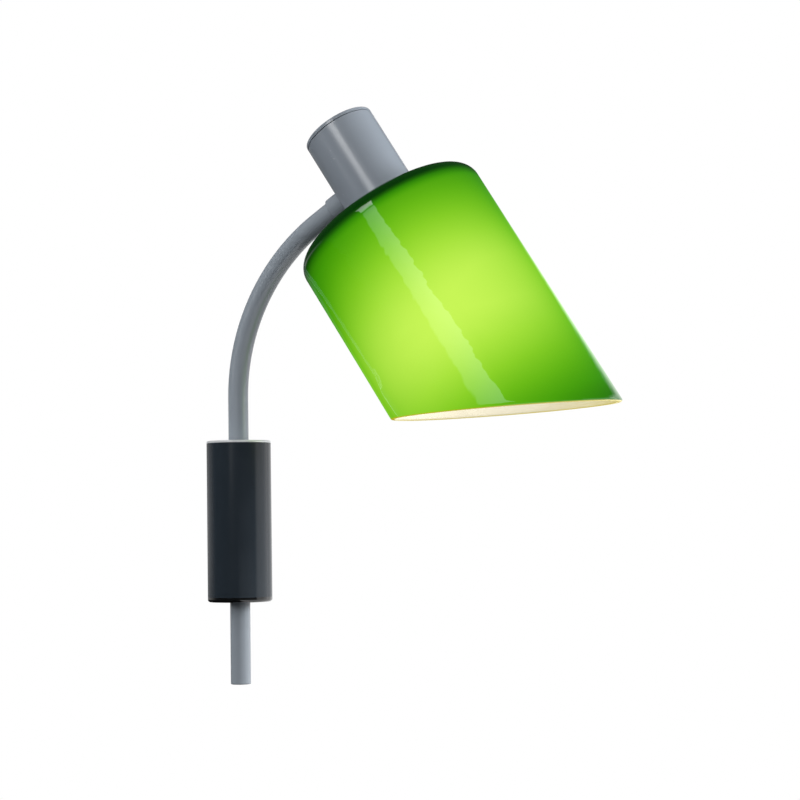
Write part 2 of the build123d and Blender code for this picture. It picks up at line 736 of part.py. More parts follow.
def build_bulb_base():
    """Flared plastic base between the screw cap and the globe."""
    top = bulb_tip_z - bulb_cap_length
    low = top - bulb_base_length
    neck = bulb_cap_radius + 2 * loose_gap
    flare = top - bulb_base_length * 0.7
    return turned(
        (0, top), (neck, top), (neck, top - bulb_neck_length), (bulb_base_radius * 0.9, flare),
        (bulb_base_radius, low), (0, low),
    )


def build_globe():
    """Opal globe, a hollow ball cut where it meets the base."""
    seat = bulb_tip_z - bulb_cap_length - bulb_base_length
    centre = seat - sqrt(globe_radius**2 - bulb_base_radius**2)
    body = Pos(0, 0, centre) * (Sphere(globe_radius) - Sphere(globe_radius - globe_wall))
    return body - ring(globe_radius, 0, seat, seat + globe_radius)


base_pieces = {
    "housing_tube": build_housing(),
    "upper_cap": build_upper_cap(),
    "lower_cap": build_lower_cap(),
    "cap_screws": [place * countersunk(cap_screw_length) for place in cap_screw_places()],
    "upper_bush": tube_ring(bush_radius, upper_bush_bottom, upper_bush_top),
    "friction_ring": tube_ring(bush_radius, upper_cap_bottom, upper_bush_bottom),
    "lower_bush": build_lower_bush(),
    "thrust_washer": tube_ring(bush_flange_radius, thrust_washer_z, thrust_washer_z + washer_thickness),
    "terminal_carrier": build_terminal_carrier(),
    "terminal_block": build_terminal_block(),
    "terminal_screws": build_terminal_screws(),
    "earth_screw": build_earth_screw(),
}
wall_pieces = {
    "wall_bracket": build_bracket(),
    "hook_studs": build_hooks(),
    "lock_screw": build_lock_screw(),
    "cable_grommet": build_grommet(),
}
arm_pieces = {
    "arm_tube": build_arm_tube(),
    "tail_plug": build_tail_plug(),
    "support_collar": build_collar(),
    "stop_screw": build_stop_screw(),
    "arm_lead": build_lead(),
}
arm_end_pieces = {
    "swivel_nipple": build_nipple(),
    "stop_washer": build_stop_washer(),
    "swivel_nut": build_swivel_nut(),
}
head_end_pieces = {
    "swivel_socket": build_socket(),
    "friction_washer": build_friction_washer(),
    "saddle_washer": build_saddle(),
    "spring_washer": build_spring_washer(),
}
head_pieces = {
    "cup_shell": build_cup(),
    "cup_cap": build_cup_cap(),
    "carrier_disc": build_carrier(),
    "lampholder_body": build_holder(),
    "lampholder_screws": build_holder_screws(),
    "screw_shell": build_shell(),
    "centre_contact": build_contact(),
    "upper_gasket": build_upper_gasket(),
    "lower_gasket": build_lower_gasket(),
    "shade_ring": build_shade_ring(),
    "glass_shade": build_shade(),
    "bulb_cap": build_bulb_cap(),
    "bulb_base": build_bulb_base(),
    "bulb_globe": build_globe(),
}

os.makedirs("parts", exist_ok=True)
groups = (
    (Pos(0, 0, 0), wall_pieces),
    (base_place, base_pieces),
    (arm_place, arm_pieces),
    (arm_swivel_place, arm_end_pieces),
    (head_swivel_place, head_end_pieces),
    (head_place, head_pieces),
)
for place, group in groups:
    for name, shape in group.items():
        solids = shape if isinstance(shape, list) else [shape]
        moved = [place * solid for solid in solids]
        export_step(moved[0] if len(moved) == 1 else Compound(moved), "parts/" + name + ".step")
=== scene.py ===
"""Looks of a gooseneck wall sconce: finishes, blown glass, studio light and camera.

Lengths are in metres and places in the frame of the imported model, unless a comment says
otherwise. The wall is the plane y = 0 and the lamp stands out towards -y. Grain scales are
in waves per metre.
"""

import logging
import math
from dataclasses import dataclass
from enum import Enum
from typing import Any, ClassVar, Dict, List, Sequence, Tuple, Union

import bmesh
import bpy
from mathutils import Matrix, Vector, noise


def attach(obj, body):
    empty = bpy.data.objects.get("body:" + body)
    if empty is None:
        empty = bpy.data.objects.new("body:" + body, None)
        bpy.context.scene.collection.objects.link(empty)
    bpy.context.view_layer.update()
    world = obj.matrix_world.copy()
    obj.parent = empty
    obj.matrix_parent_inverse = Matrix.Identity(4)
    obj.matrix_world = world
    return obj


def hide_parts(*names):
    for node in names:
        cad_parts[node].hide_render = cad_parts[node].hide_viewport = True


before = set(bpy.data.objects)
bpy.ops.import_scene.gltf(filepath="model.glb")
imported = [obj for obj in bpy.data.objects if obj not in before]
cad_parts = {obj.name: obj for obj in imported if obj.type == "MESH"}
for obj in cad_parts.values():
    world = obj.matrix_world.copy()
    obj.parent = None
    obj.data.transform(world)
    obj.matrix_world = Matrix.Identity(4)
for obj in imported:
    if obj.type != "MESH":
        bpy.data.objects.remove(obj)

LOG = logging.getLogger("sconce")

Colour = Tuple[float, float, float]
Point = Tuple[float, float, float]
Pair = Tuple[float, float]
Socket = bpy.types.NodeSocket

RIGHT: Point = (1.0, 0.0, 0.0)
BACK: Point = (0.0, 1.0, 0.0)
UP: Point = (0.0, 0.0, 1.0)
WHITE: Colour = (1.0, 1.0, 1.0)

# Sockets of a Mix node that mixes colours.
MIX_FACTOR, MIX_FIRST, MIX_SECOND, MIX_RESULT = 0, 6, 7, 2


# ---- the lamp's own places ----


class Place(Enum):
    """Names of the lamp's turning bodies."""

    BASE = "base"
    ARM = "arm"
    HEAD = "head"


@dataclass(frozen=True)
class HeadFrame:
    """The head's own axes: the origin is on the cup's axis, in the glass's top plane."""

    origin: Point = (0.096713, -0.071342, 0.185383)
    yaw: float = -26.5
    tilt: float = -32.15
    roll: float = 1.86

    def matrix(self) -> Matrix:
        """Works out the head's place.

        Returns:
            The matrix from the head's axes to the row frame.
        """
        turn = Matrix.Rotation(math.radians(self.yaw), 4, "Z")
        turn = turn @ Matrix.Rotation(math.radians(self.tilt), 4, "Y")
        turn = turn @ Matrix.Rotation(math.radians(self.roll), 4, "X")
        return Matrix.Translation(Vector(self.origin)) @ turn

    def axis(self, index: int) -> Point:
        """Returns one of the head's three axes in the row frame."""
        return tuple(self.matrix().to_3x3().col[index])


HEAD = HeadFrame()


# ---- shader maths ----


class Signal:
    """A value in a node tree. Python's operators add the Math nodes."""

    def __init__(self, graph: "Graph", socket: Socket) -> None:
        """Wraps an output socket of a graph."""
        self.graph = graph
        self.socket = socket

    def _with(self, operation: str, first: "Operand", second: "Operand") -> "Signal":
        """Joins two operands in one Math node."""
        return self.graph.maths(operation, first, second)

    def __add__(self, other: "Operand") -> "Signal":
        """Returns self + other."""
        return self._with("ADD", self, other)

    def __radd__(self, other: "Operand") -> "Signal":
        """Returns other + self."""
        return self._with("ADD", other, self)

    def __sub__(self, other: "Operand") -> "Signal":
        """Returns self - other."""
        return self._with("SUBTRACT", self, other)

    def __rsub__(self, other: "Operand") -> "Signal":
        """Returns other - self."""
        return self._with("SUBTRACT", other, self)

    def __mul__(self, other: "Operand") -> "Signal":
        """Returns self * other."""
        return self._with("MULTIPLY", self, other)

    def __rmul__(self, other: "Operand") -> "Signal":
        """Returns other * self."""
        return self._with("MULTIPLY", other, self)

    def __truediv__(self, other: "Operand") -> "Signal":
        """Returns self / other."""
        return self._with("DIVIDE", self, other)

    def __pow__(self, other: "Operand") -> "Signal":
        """Returns self to the power other."""
        return self._with("POWER", self, other)

    def absolute(self) -> "Signal":
        """Returns the value without its sign."""
        return self.graph.maths("ABSOLUTE", self, 0.0)

    def bell(self, centre: float, width: float) -> "Signal":
        """Returns a bell curve: 1 at the centre and 1 / e one width away from it."""
        away = (self - centre) / width
        return self.graph.maths("EXPONENT", away * away * -1.0, 0.0)

    def swing(self, amount: float) -> "Signal":
        """Returns noise from 0 to 1 as a swing about 0."""
        return (self - 0.5) * amount

    def at_most(self, high: "Operand") -> "Signal":
        """Returns the smaller of the value and a limit."""
        return self.graph.maths("MINIMUM", self, high)

    def at_least(self, low: "Operand") -> "Signal":
        """Returns the larger of the value and a limit."""
        return self.graph.maths("MAXIMUM", self, low)

    def step(self, low: float, high: float) -> "Signal":
        """Rises smoothly from 0 to 1.

        Args:
            low: Where the value is still 0.
            high: Where it has come to 1.

        Returns:
            The step.
        """
        node = self.graph.node(
            "ShaderNodeMapRange",
            {"interpolation_type": "SMOOTHSTEP"},
            {"Value": self, "From Min": low, "From Max": high, "To Min": 0.0, "To Max": 1.0},
        )
        return Signal(self.graph, node.outputs["Result"])


Operand = Union[Signal, float]


class Graph:
    """The node tree of one material or of the world."""

    def __init__(self, owner: Union[bpy.types.Material, bpy.types.World]) -> None:
        """Empties the tree of a material or a world.

        Args:
            owner: The material or world that the tree belongs to.
        """
        self.owner = owner
        owner.use_nodes = True
        self.tree = owner.node_tree
        self.tree.nodes.clear()

    def node(
        self, kind: str, settings: Dict[str, Any], inputs: Dict[Any, Any]
    ) -> bpy.types.Node:
        """Adds a node.

        Args:
            kind: The node's type.
            settings: Properties that are set first; "stops" fills a colour ramp.
            inputs: Values or links by socket name or number.

        Returns:
            The new node.
        """
        made = self.tree.nodes.new(kind)
        for name, value in settings.items():
            if name == "stops":
                self._fill_ramp(made, value)
            else:
                setattr(made, name, value)
        for name, value in inputs.items():
            socket = made.inputs[name]
            if isinstance(value, Signal):
                self.tree.links.new(value.socket, socket)
            elif isinstance(value, bpy.types.NodeSocket):
                self.tree.links.new(value, socket)
            else:
                socket.default_value = value
        return made

    @staticmethod
    def _fill_ramp(made: bpy.types.Node, stops: Sequence[Tuple[float, Colour]]) -> None:
        """Sets the stops of a colour ramp.

        Args:
            made: The ramp's node.
            stops: The place and the colour of each stop, from low to high.
        """
        elements = made.color_ramp.elements
        while len(elements) > 1:
            elements.remove(elements[-1])
        for count, (place, colour) in enumerate(stops):
            element = elements[0] if count == 0 else elements.new(place)
            element.position = place
            element.color = (*colour, 1.0)

    def maths(self, operation: str, first: Operand, second: Operand) -> Signal:
        """Returns the result of one Math node."""
        made = self.node("ShaderNodeMath", {"operation": operation}, {0: first, 1: second})
        return Signal(self, made.outputs[0])

    def place(self) -> Socket:
        """Returns the position on the piece, in the row frame at rest."""
        return self.node("ShaderNodeTexCoord", {}, {}).outputs["Object"]

    def vectors(self, operation: str, first: Socket, second: Point) -> bpy.types.Node:
        """Adds a Vector Math node for two vectors."""
        return self.node("ShaderNodeVectorMath", {"operation": operation}, {0: first, 1: second})

    def away_from(self, origin: Point) -> Socket:
        """Returns the position measured from a point."""
        return self.vectors("SUBTRACT", self.place(), origin).outputs["Vector"]

    def along(self, vector: Socket, axis: Point) -> Signal:
        """Returns how far a vector reaches along an axis."""
        return Signal(self, self.vectors("DOT_PRODUCT", vector, axis).outputs["Value"])

    def length(self, vector: Socket) -> Signal:
        """Returns a vector's length."""
        made = self.node("ShaderNodeVectorMath", {"operation": "LENGTH"}, {0: vector})
        return Signal(self, made.outputs["Value"])

    def grain(
        self, scale: float, detail: float = 2.0, stretch: Point = (1.0, 1.0, 1.0)
    ) -> Signal:
        """Adds smooth noise.

        Args:
            scale: Waves per metre.
            detail: How many finer layers it has.
            stretch: Multiplies the position first, so that grain can run one way.

        Returns:
            The noise, from 0 to 1.
        """
        spread = self.vectors("MULTIPLY", self.place(), stretch).outputs["Vector"]
        inputs = {"Vector": spread, "Scale": scale, "Detail": detail}
        made = self.node("ShaderNodeTexNoise", {}, inputs)
        return Signal(self, made.outputs[0])

    def rings(self, centre: Point, scale: float) -> Signal:
        """Adds noise that changes only with the distance from an upright axis.

        Args:
            centre: A point on the axis.
            scale: Waves per metre.

        Returns:
            The noise, from 0 to 1.
        """
        level = self.vectors("MULTIPLY", self.away_from(centre), (1.0, 1.0, 0.0))
        inputs = {"W": self.length(level.outputs["Vector"]), "Scale": scale, "Detail": 3.0}
        made = self.node("ShaderNodeTexNoise", {"noise_dimensions": "1D"}, inputs)
        return Signal(self, made.outputs[0])

    def scaled(self, colour: Union[Colour, Socket], amount: Signal) -> Socket:
        """Returns a colour that is multiplied by a value."""
        inputs = {0: colour, "Scale": amount}
        return self.node("ShaderNodeVectorMath", {"operation": "SCALE"}, inputs).outputs["Vector"]

    def blend(self, share: Operand, first: Any, second: Any) -> Socket:
        """Mixes two colours.

        Args:
            share: 0 gives the first colour and 1 the second.
            first: A colour or a socket.
            second: A colour or a socket.

        Returns:
            The colour between them.
        """
        inputs = {MIX_FACTOR: share}
        for socket, colour in ((MIX_FIRST, first), (MIX_SECOND, second)):
            inputs[socket] = (*colour, 1.0) if isinstance(colour, tuple) else colour
        made = self.node("ShaderNodeMix", {"data_type": "RGBA"}, inputs)
        return made.outputs[MIX_RESULT]

    def ramp(self, value: Signal, stops: Sequence[Tuple[float, Colour]]) -> Socket:
        """Returns the colour of a ramp at a value."""
        made = self.node("ShaderNodeValToRGB", {"stops": stops}, {"Fac": value})
        return made.outputs["Color"]

    def bump(self, height: Signal, depth: float, strength: float = 1.0) -> Socket:
        """Returns a normal that follows a height, where depth is a height of 1 in metres."""
        inputs = {"Strength": strength, "Distance": depth, "Height": height}
        return self.node("ShaderNodeBump", {}, inputs).outputs["Normal"]

    def surface(self, inputs: Dict[str, Any]) -> bpy.types.Node:
        """Adds a Principled shader."""
        return self.node("ShaderNodeBsdfPrincipled", {}, inputs)

    def light(self, kind: str, level: Signal) -> bpy.types.Node:
        """Adds a shader that gives off white light, such as an Emission."""
        return self.node(kind, {}, {"Color": self.scaled(WHITE, level), "Strength": 1.0})

    def mixed(
        self, share: Operand, first: bpy.types.Node, second: bpy.types.Node
    ) -> bpy.types.Node:
        """Adds a Mix Shader: a share of 0 shows the first shader and 1 the second."""
        inputs = {0: share, 1: first.outputs[0], 2: second.outputs[0]}
        return self.node("ShaderNodeMixShader", {}, inputs)

    def ray(self, kind: str) -> Signal:
        """Returns 1 for rays of one kind, such as "Is Camera Ray"."""
        return Signal(self, self.node("ShaderNodeLightPath", {}, {}).outputs[kind])

    def shown(self) -> Signal:
        """Returns 1 for the rays that show the background: the camera's, gloss and glass."""
        through = self.ray("Is Camera Ray").at_least(self.ray("Is Transmission Ray"))
        return through.at_least(self.ray("Is Glossy Ray"))

    def finish(self, shader: bpy.types.Node) -> Union[bpy.types.Material, bpy.types.World]:
        """Joins a shader to the output.

        Args:
            shader: The shader of the whole tree.

        Returns:
            The material or world that owns the tree.
        """
        kind = "World" if isinstance(self.owner, bpy.types.World) else "Material"
        self.node(f"ShaderNodeOutput{kind}", {}, {"Surface": shader.outputs[0]})
        return self.owner


# ---- finishes ----


@dataclass(frozen=True)
class PowderCoat:
    """Satin powder coat with fine orange peel and a faint mottle."""

    name: str
    colour: Colour
    roughness: float = 0.33
    peel: float = 900.0
    peel_depth: float = 0.00002
    mottle: float = 0.08
    sheen_level: float = 0.5
    cloud: float = 45.0
    speck: float = 4200.0
    speck_share: float = 0.6
    cloud_roughness: float = 0.10
    peel_roughness: float = 0.06

    def build(self) -> bpy.types.Material:
        """Builds the coat.

        Returns:
            The material.
        """
        graph = Graph(bpy.data.materials.new(self.name))
        peel = graph.grain(self.peel, 3.0)
        cloud = graph.grain(self.cloud, 3.0)
        speck = graph.grain(self.speck, 1.0)
        level = 1.0 + cloud.swing(self.mottle) + speck.swing(self.mottle) * self.speck_share
        rough = self.roughness + cloud.swing(self.cloud_roughness)
        rough = rough + peel.swing(self.peel_roughness)
        return graph.finish(
            graph.surface(
                {
                    "Base Color": graph.scaled(self.colour, level),
                    "Roughness": rough,
                    "Specular IOR Level": self.sheen_level,
                    "Normal": graph.bump(peel, self.peel_depth),
                }
            )
        )


@dataclass(frozen=True)
class Moulding:
    """Moulded plastic, from matt bearing plastic to a glossy cap."""

    name: str
    colour: Colour
    roughness: float
    grain: float = 1600.0
    depth: float = 0.00001
    coat: float = 0.0
    coat_roughness: float = 0.05
    flow: float = 60.0
    flow_stretch: Point = (1.0, 1.0, 2.5)
    flow_shade: float = 0.16
    skin_shade: float = 0.10
    flow_roughness: float = 0.08
    skin_roughness: float = 0.05

    def build(self) -> bpy.types.Material:
        """Builds the plastic.

        Returns:
            The material.
        """
        graph = Graph(bpy.data.materials.new(self.name))
        skin = graph.grain(self.grain, 3.0)
        flow = graph.grain(self.flow, 2.0, self.flow_stretch)
        level = 1.0 + flow.swing(self.flow_shade) + skin.swing(self.skin_shade)
        rough = self.roughness + flow.swing(self.flow_roughness)
        rough = rough + skin.swing(self.skin_roughness)
        return graph.finish(
            graph.surface(
                {
                    "Base Color": graph.scaled(self.colour, level),
                    "Roughness": rough,
                    "Coat Weight": self.coat,
                    "Coat Roughness": self.coat_roughness,
                    "Normal": graph.bump(skin, self.depth),
                }
            )
        )


class Lay(Enum):
    """How a metal's finishing marks run."""

    TURNED = "turned"
    DRAWN = "drawn"
    PLATED = "plated"


@dataclass(frozen=True)
class Metal:
    """Bare or plated metal with the marks of its making."""

    name: str
    colour: Colour
    roughness: float
    lay: Lay
    centre: Point = (0.0, -0.024, 0.0)
    marks: float = 9000.0
    depth: float = 0.000008
    metallic: float = 1.0
    drawn_share: float = 0.3
    drawn_stretch: Point = (1.0, 1.0, 0.012)
    plated_share: float = 0.2
    tarnish: float = 130.0
    tarnish_shade: float = 0.22
    marks_shade: float = 0.14
    tarnish_roughness: float = 0.16
    marks_roughness: float = 0.10

    def _marks(self, graph: Graph) -> Signal:
        """Chooses the finishing marks by the metal's lay.

        Args:
            graph: The material's graph.

        Returns:
            The height of the marks, from 0 to 1.
        """
        if self.lay is Lay.TURNED:
            return graph.rings(self.centre, self.marks)
        if self.lay is Lay.DRAWN:
            return graph.grain(self.marks * self.drawn_share, 3.0, self.drawn_stretch)
        return graph.grain(self.marks * self.plated_share, 4.0)

    def build(self) -> bpy.types.Material:
        """Builds the metal.

        Returns:
            The material.
        """
        graph = Graph(bpy.data.materials.new(self.name))
        marks = self._marks(graph)
        tarnish = graph.grain(self.tarnish, 4.0)
        level = 1.0 + tarnish.swing(self.tarnish_shade) + marks.swing(self.marks_shade)
        rough = self.roughness + tarnish.swing(self.tarnish_roughness)
        rough = rough + marks.swing(self.marks_roughness)
        return graph.finish(
            graph.surface(
                {
                    "Base Color": graph.scaled(self.colour, level),
                    "Metallic": self.metallic,
                    "Roughness": rough,
                    "Normal": graph.bump(marks, self.depth),
                }
            )
        )


@dataclass(frozen=True)
class Rubber:
    """Soft moulded rubber or a lead's sheath, slightly dusty."""

    name: str
    colour: Colour
    roughness: float = 0.72
    skin: float = 2200.0
    skin_depth: float = 0.00002
    skin_roughness: float = 0.15
    dust: float = 240.0
    dust_edges: Pair = (0.45, 0.8)
    dust_cover: float = 0.25
    dust_dim: float = 0.5
    dust_grey: float = 0.12

    def build(self) -> bpy.types.Material:
        """Builds the rubber.

        Returns:
            The material.
        """
        graph = Graph(bpy.data.materials.new(self.name))
        skin = graph.grain(self.skin, 4.0)
        dust = graph.grain(self.dust, 4.0).step(*self.dust_edges)
        dusty = tuple(self.dust_dim * channel + self.dust_grey for channel in self.colour)
        colour = graph.blend(dust * self.dust_cover, self.colour, dusty)
        return graph.finish(
            graph.surface(
                {
                    "Base Color": colour,
                    "Roughness": self.roughness + skin.swing(self.skin_roughness),
                    "Normal": graph.bump(skin, self.skin_depth),
                }
            )
        )


@dataclass(frozen=True)
class CasedGlass:
    """Blown glass over a lit bulb: clear green over opal white, with the light through it painted
    as a glow.

    The glow is painted light, an emission that stands in for the bulb's light through the glass.
    It is a bell curve of the height below the glass's top, where light from the bulb falls on
    the opal layer. It is painted a little higher and weaker on the side that faces the arm, and
    painted out at the shoulder as painted shade. Its colour comes from a ramp, because thicker
    green takes out more of the red.
    """

    radius: float
    wall: float
    shoulder: float
    slip: float
    axis_length: float
    slant: float
    name: str = "cased_glass"
    # From glow_height to the swirl: the painted glow's bell, its lean and its brighter side.
    glow_height: float = -0.085
    glow_width: float = 0.0527
    lit_side: Point = (0.872, 0.0, 0.490)
    glow_lean: float = 0.009
    glow_gain: float = 0.12
    swirl: float = 26.0
    swirl_share: float = 0.12
    # Heights over which the painted glow is faded out at the shoulder: painted shade.
    painted_shade_at_shoulder: Pair = (-0.0155, -0.0055)
    green_layer: Pair = (0.0006, 0.0011)
    ground_rim: Pair = (0.0, 0.0009)
    deep_inside: Pair = (-0.185, -0.125)
    inside_least: float = 0.61
    # unlit_green, opal and edge_base are the glass's own colours; inner_glow, low_glow and
    # edge_glow are painted glow inside and at the rim.
    unlit_green: Colour = (0.001, 0.021, 0.001)
    opal: Colour = (0.66, 0.63, 0.59)
    inner_glow: Colour = (0.64, 0.58, 0.38)
    low_glow: Colour = (0.90, 0.78, 0.22)
    edge_glow: Colour = (0.46, 0.37, 0.006)
    edge_base: Colour = (0.22, 0.20, 0.02)
    # grazing_level is the painted glow's share seen at a grazing angle; grazing_gain makes it
    # reach that share sooner.
    grazing_level: float = 0.35
    grazing_gain: float = 1.3
    roughness: float = 0.035
    waves: float = 38.0
    ripple: float = 125.0
    ripple_share: float = 0.45
    wave_depth: float = 0.0006
    wave_strength: float = 0.5
    wave_roughness: float = 0.04
    # The colours of the painted glow in the green layer, from unlit to brightest.
    stops: Tuple[Tuple[float, Colour], ...] = (
        (0.00, (0.000, 0.013, 0.000)),
        (0.05, (0.030, 0.234, 0.0004)),
        (0.12, (0.072, 0.350, 0.0017)),
        (0.25, (0.150, 0.491, 0.007)),
        (0.45, (0.270, 0.644, 0.021)),
        (0.70, (0.420, 0.789, 0.050)),
        (1.00, (0.600, 0.930, 0.098)),
    )

    def build(self) -> bpy.types.Material:
        """Builds the glass. Its painted glow dims to a deeper green where it is seen at a grazing
        angle.

        Returns:
            The material.
        """
        graph = Graph(bpy.data.materials.new(self.name))
        place = graph.away_from(HEAD.origin)
        height = graph.along(place, HEAD.axis(2))
        outside_by = self._from_middle_of_wall(graph, place, height)
        outside = outside_by.step(*self.green_layer)
        glow = self._glow(graph, place, height)
        # lit is the painted glow with the painted shade at the shoulder taken out.
        lit = glow * (1.0 - height.step(*self.painted_shade_at_shoulder))
        # Painted glow inside: low_glow towards the mouth and inner_glow deeper in, dimmed with
        # the glow but never below inside_least.
        warm = graph.blend(height.step(*self.deep_inside), self.low_glow, self.inner_glow)
        painted_inside_glow = graph.scaled(warm, self.inside_least + glow * (1.0 - self.inside_least))
        # The ground rim gets its own painted glow, edge_glow, over its own colour, edge_base.
        edge = 1.0 - self._above_mouth(graph).step(*self.ground_rim)
        waves = graph.grain(self.waves, 1.0)
        ripple = graph.grain(self.ripple, 1.0)
        relief = waves + ripple * self.ripple_share
        layers = graph.blend(outside, self.opal, self.unlit_green)
        shared = {
            "Base Color": graph.blend(edge, layers, self.edge_base),
            "Roughness": self.roughness + (waves - 0.5).absolute() * self.wave_roughness,
            "Normal": graph.bump(relief, self.wave_depth, self.wave_strength),
            "Emission Strength": 1.0,
        }
        # Two looks: the full painted glow and a dimmer one; the Layer Weight mixes them so the
        # painted glow darkens towards the glass's outline.
        looks = []
        for level in (1.0, self.grazing_level):
            green = graph.ramp(lit * level, self.stops)
            light = graph.blend(edge, graph.blend(outside, painted_inside_glow, green), self.edge_glow)
            looks.append(graph.surface({**shared, "Emission Color": light}))
        weight = graph.node("ShaderNodeLayerWeight", {}, {"Blend": 0.5}).outputs["Facing"]
        share = (Signal(graph, weight) * self.grazing_gain).at_most(1.0)
        return graph.finish(graph.mixed(share, *looks))

    def _glow(self, graph: Graph, place: Socket, height: Signal) -> Signal:
        """Works out the painted glow that stands in for the bulb's light on the opal layer.

        Args:
            graph: The material's graph.
            place: The position measured from the head's origin.
            height: The part of that position along the head's axis.

        Returns:
            The painted glow, 1 where it is brightest in front.
        """
        # Painted light throughout: swirl varies the glow, which sits a little higher where side
        # is below 0 and is brighter where side is above 0.
        swirl = graph.grain(self.swirl, 3.0)
        side = graph.along(place, self.lit_side) / self.radius
        lean = side.at_most(0.0) * self.glow_lean
        glow = (height - lean).bell(self.glow_height, self.glow_width)
        glow = glow * (1.0 + swirl.swing(self.swirl_share))
        return glow * (1.0 + side.at_least(0.0) * self.glow_gain)

    def _above_mouth(self, graph: Graph) -> Signal:
        """Measures from the plane of the mouth.

        Args:
            graph: The material's graph.

        Returns:
            How far a point lies above the mouth.
        """
        slant = math.radians(self.slant)
        frame_of_head = HEAD.matrix()
        centre = frame_of_head @ Vector((-self.slip, 0.0, -self.axis_length))
        upward = frame_of_head.to_3x3() @ Vector((math.sin(slant), 0.0, math.cos(slant)))
        return graph.along(graph.away_from(tuple(centre)), tuple(upward))

    def _from_middle_of_wall(self, graph: Graph, place: Socket, height: Signal) -> Signal:
        """Measures from the middle of the glass's wall, as from a rounded can.

        Args:
            graph: The material's graph.
            place: The position measured from the head's origin.
            height: The part of that position along the head's axis.

        Returns:
            How far a point lies outside it; less than 0 is inside.
        """
        across = graph.along(place, HEAD.axis(0)) + self.slip
        beside = graph.along(place, HEAD.axis(1))
        radius = (across * across + beside * beside) ** 0.5
        out = (radius - (self.radius - self.shoulder)).at_least(0.0)
        up = (height + self.shoulder).at_least(0.0)
        return (out * out + up * up) ** 0.5 - (self.shoulder - self.wall / 2)


@dataclass(frozen=True)
class LitOpal:
    """The lit globe of the bulb, a warm white with faint clouds."""

    name: str = "bulb_opal"
    colour: Colour = (0.55, 0.53, 0.48)
    warm: Colour = (1.0, 0.90, 0.70)
    pale: Colour = (1.0, 0.95, 0.82)
    strength: float = 0.95
    roughness: float = 0.25
    frost: float = 900.0
    frost_depth: float = 0.00001
    frost_roughness: float = 0.2
    cloud: float = 60.0

    def build(self) -> bpy.types.Material:
        """Builds the opal.

        Returns:
            The material.
        """
        graph = Graph(bpy.data.materials.new(self.name))
        frost = graph.grain(self.frost, 3.0)
        light = graph.blend(graph.grain(self.cloud, 2.0), self.warm, self.pale)
        return graph.finish(
            graph.surface(
                {
                    "Base Color": (*self.colour, 1.0),
                    "Roughness": self.roughness + frost.swing(self.frost_roughness),
                    "Normal": graph.bump(frost, self.frost_depth),
                    "Emission Color": light,
                    "Emission Strength": self.strength,
                }
            )
        )


# ---- the object's finishes ----


Finish = Union[PowderCoat, Moulding, Metal, Rubber, CasedGlass, LitOpal]

HOUSING_PAINT = PowderCoat(
    "housing_paint",
    (0.0170, 0.0245, 0.0330),
    roughness=0.20,
    peel=1100.0,
    peel_depth=0.000008,
    mottle=0.12,
)
ARM_PAINT = PowderCoat(
    "arm_paint",
    (0.256, 0.290, 0.328),
    roughness=0.24,
    peel_depth=0.000004,
    mottle=0.03,
    sheen_level=0.7,
)
CUP_PAINT = PowderCoat(
    "cup_paint",
    (0.234, 0.266, 0.306),
    roughness=0.24,
    peel=700.0,
    peel_depth=0.000004,
    mottle=0.03,
    sheen_level=0.95,
)
BRIGHT_LIP = Metal("bright_lip", (0.80, 0.82, 0.84), 0.46, Lay.TURNED, metallic=0.45)
BRACKET = Metal("bracket_metal", (0.58, 0.59, 0.61), 0.42, Lay.DRAWN)
ZINC = Metal("zinc_steel", (0.60, 0.60, 0.58), 0.34, Lay.PLATED)
BRASS = Metal("brass", (0.72, 0.50, 0.20), 0.30, Lay.PLATED)
BULB_CAP = Metal("bulb_metal", (0.70, 0.69, 0.66), 0.30, Lay.PLATED)
BLACK_CAP = Moulding("black_cap", (0.003, 0.0035, 0.004), 0.12, depth=0.000004, coat=0.6)
BEARING = Moulding("bush_plastic", (0.028, 0.028, 0.030), 0.55)
HOLDER = Moulding(
    "holder_plastic", (0.018, 0.018, 0.019), 0.40, grain=1300.0, depth=0.000012
)
TERMINAL = Moulding("terminal_plastic", (0.66, 0.66, 0.62), 0.48)
BULB_BODY = Moulding("bulb_plastic", (0.80, 0.79, 0.76), 0.38)
SOFT = Rubber("soft_rubber", (0.020, 0.020, 0.021))
SHEATH = Rubber("lead_sheath", (0.42, 0.42, 0.42), 0.6)


class Wardrobe:
    """Builds each finish once and puts it on the pieces."""

    def __init__(self) -> None:
        """Starts with no material built."""
        self.built: Dict[str, bpy.types.Material] = {}

    def material(self, finish: Finish) -> bpy.types.Material:
        """Looks up a finish, and builds it at its first use.

        Args:
            finish: The finish.

        Returns:
            Its material.
        """
        if finish.name not in self.built:
            self.built[finish.name] = finish.build()
        return self.built[finish.name]

    def dress(self, piece: bpy.types.Object, finish: Finish) -> None:
        """Gives a piece a finish on all its faces.

        Args:
            piece: The piece.
            finish: Its finish.
        """
        piece.data.materials.clear()
        piece.data.materials.append(self.material(finish))
        LOG.info("%s wears %s", piece.name, finish.name)


def add_object(name: str, data: bpy.types.ID) -> bpy.types.Object:
    """Adds an object to the scene.

    Args:
        name: The object's name.
        data: Its mesh, light or camera.

    Returns:
        The object.
    """
    made = bpy.data.objects.new(name, data)
    bpy.context.scene.collection.objects.link(made)
    return made


# ---- the object's sub-assemblies ----


@dataclass
class Dressed:
    """A sub-assembly whose shapes come from the frame and only need their finish."""

    wardrobe: Wardrobe
    body: ClassVar[Place]
    finishes: ClassVar[Dict[str, Finish]]

    def build(self) -> None:
        """Dresses each named node."""
        for node, finish in self.finishes.items():
            self.wardrobe.dress(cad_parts[node], finish)


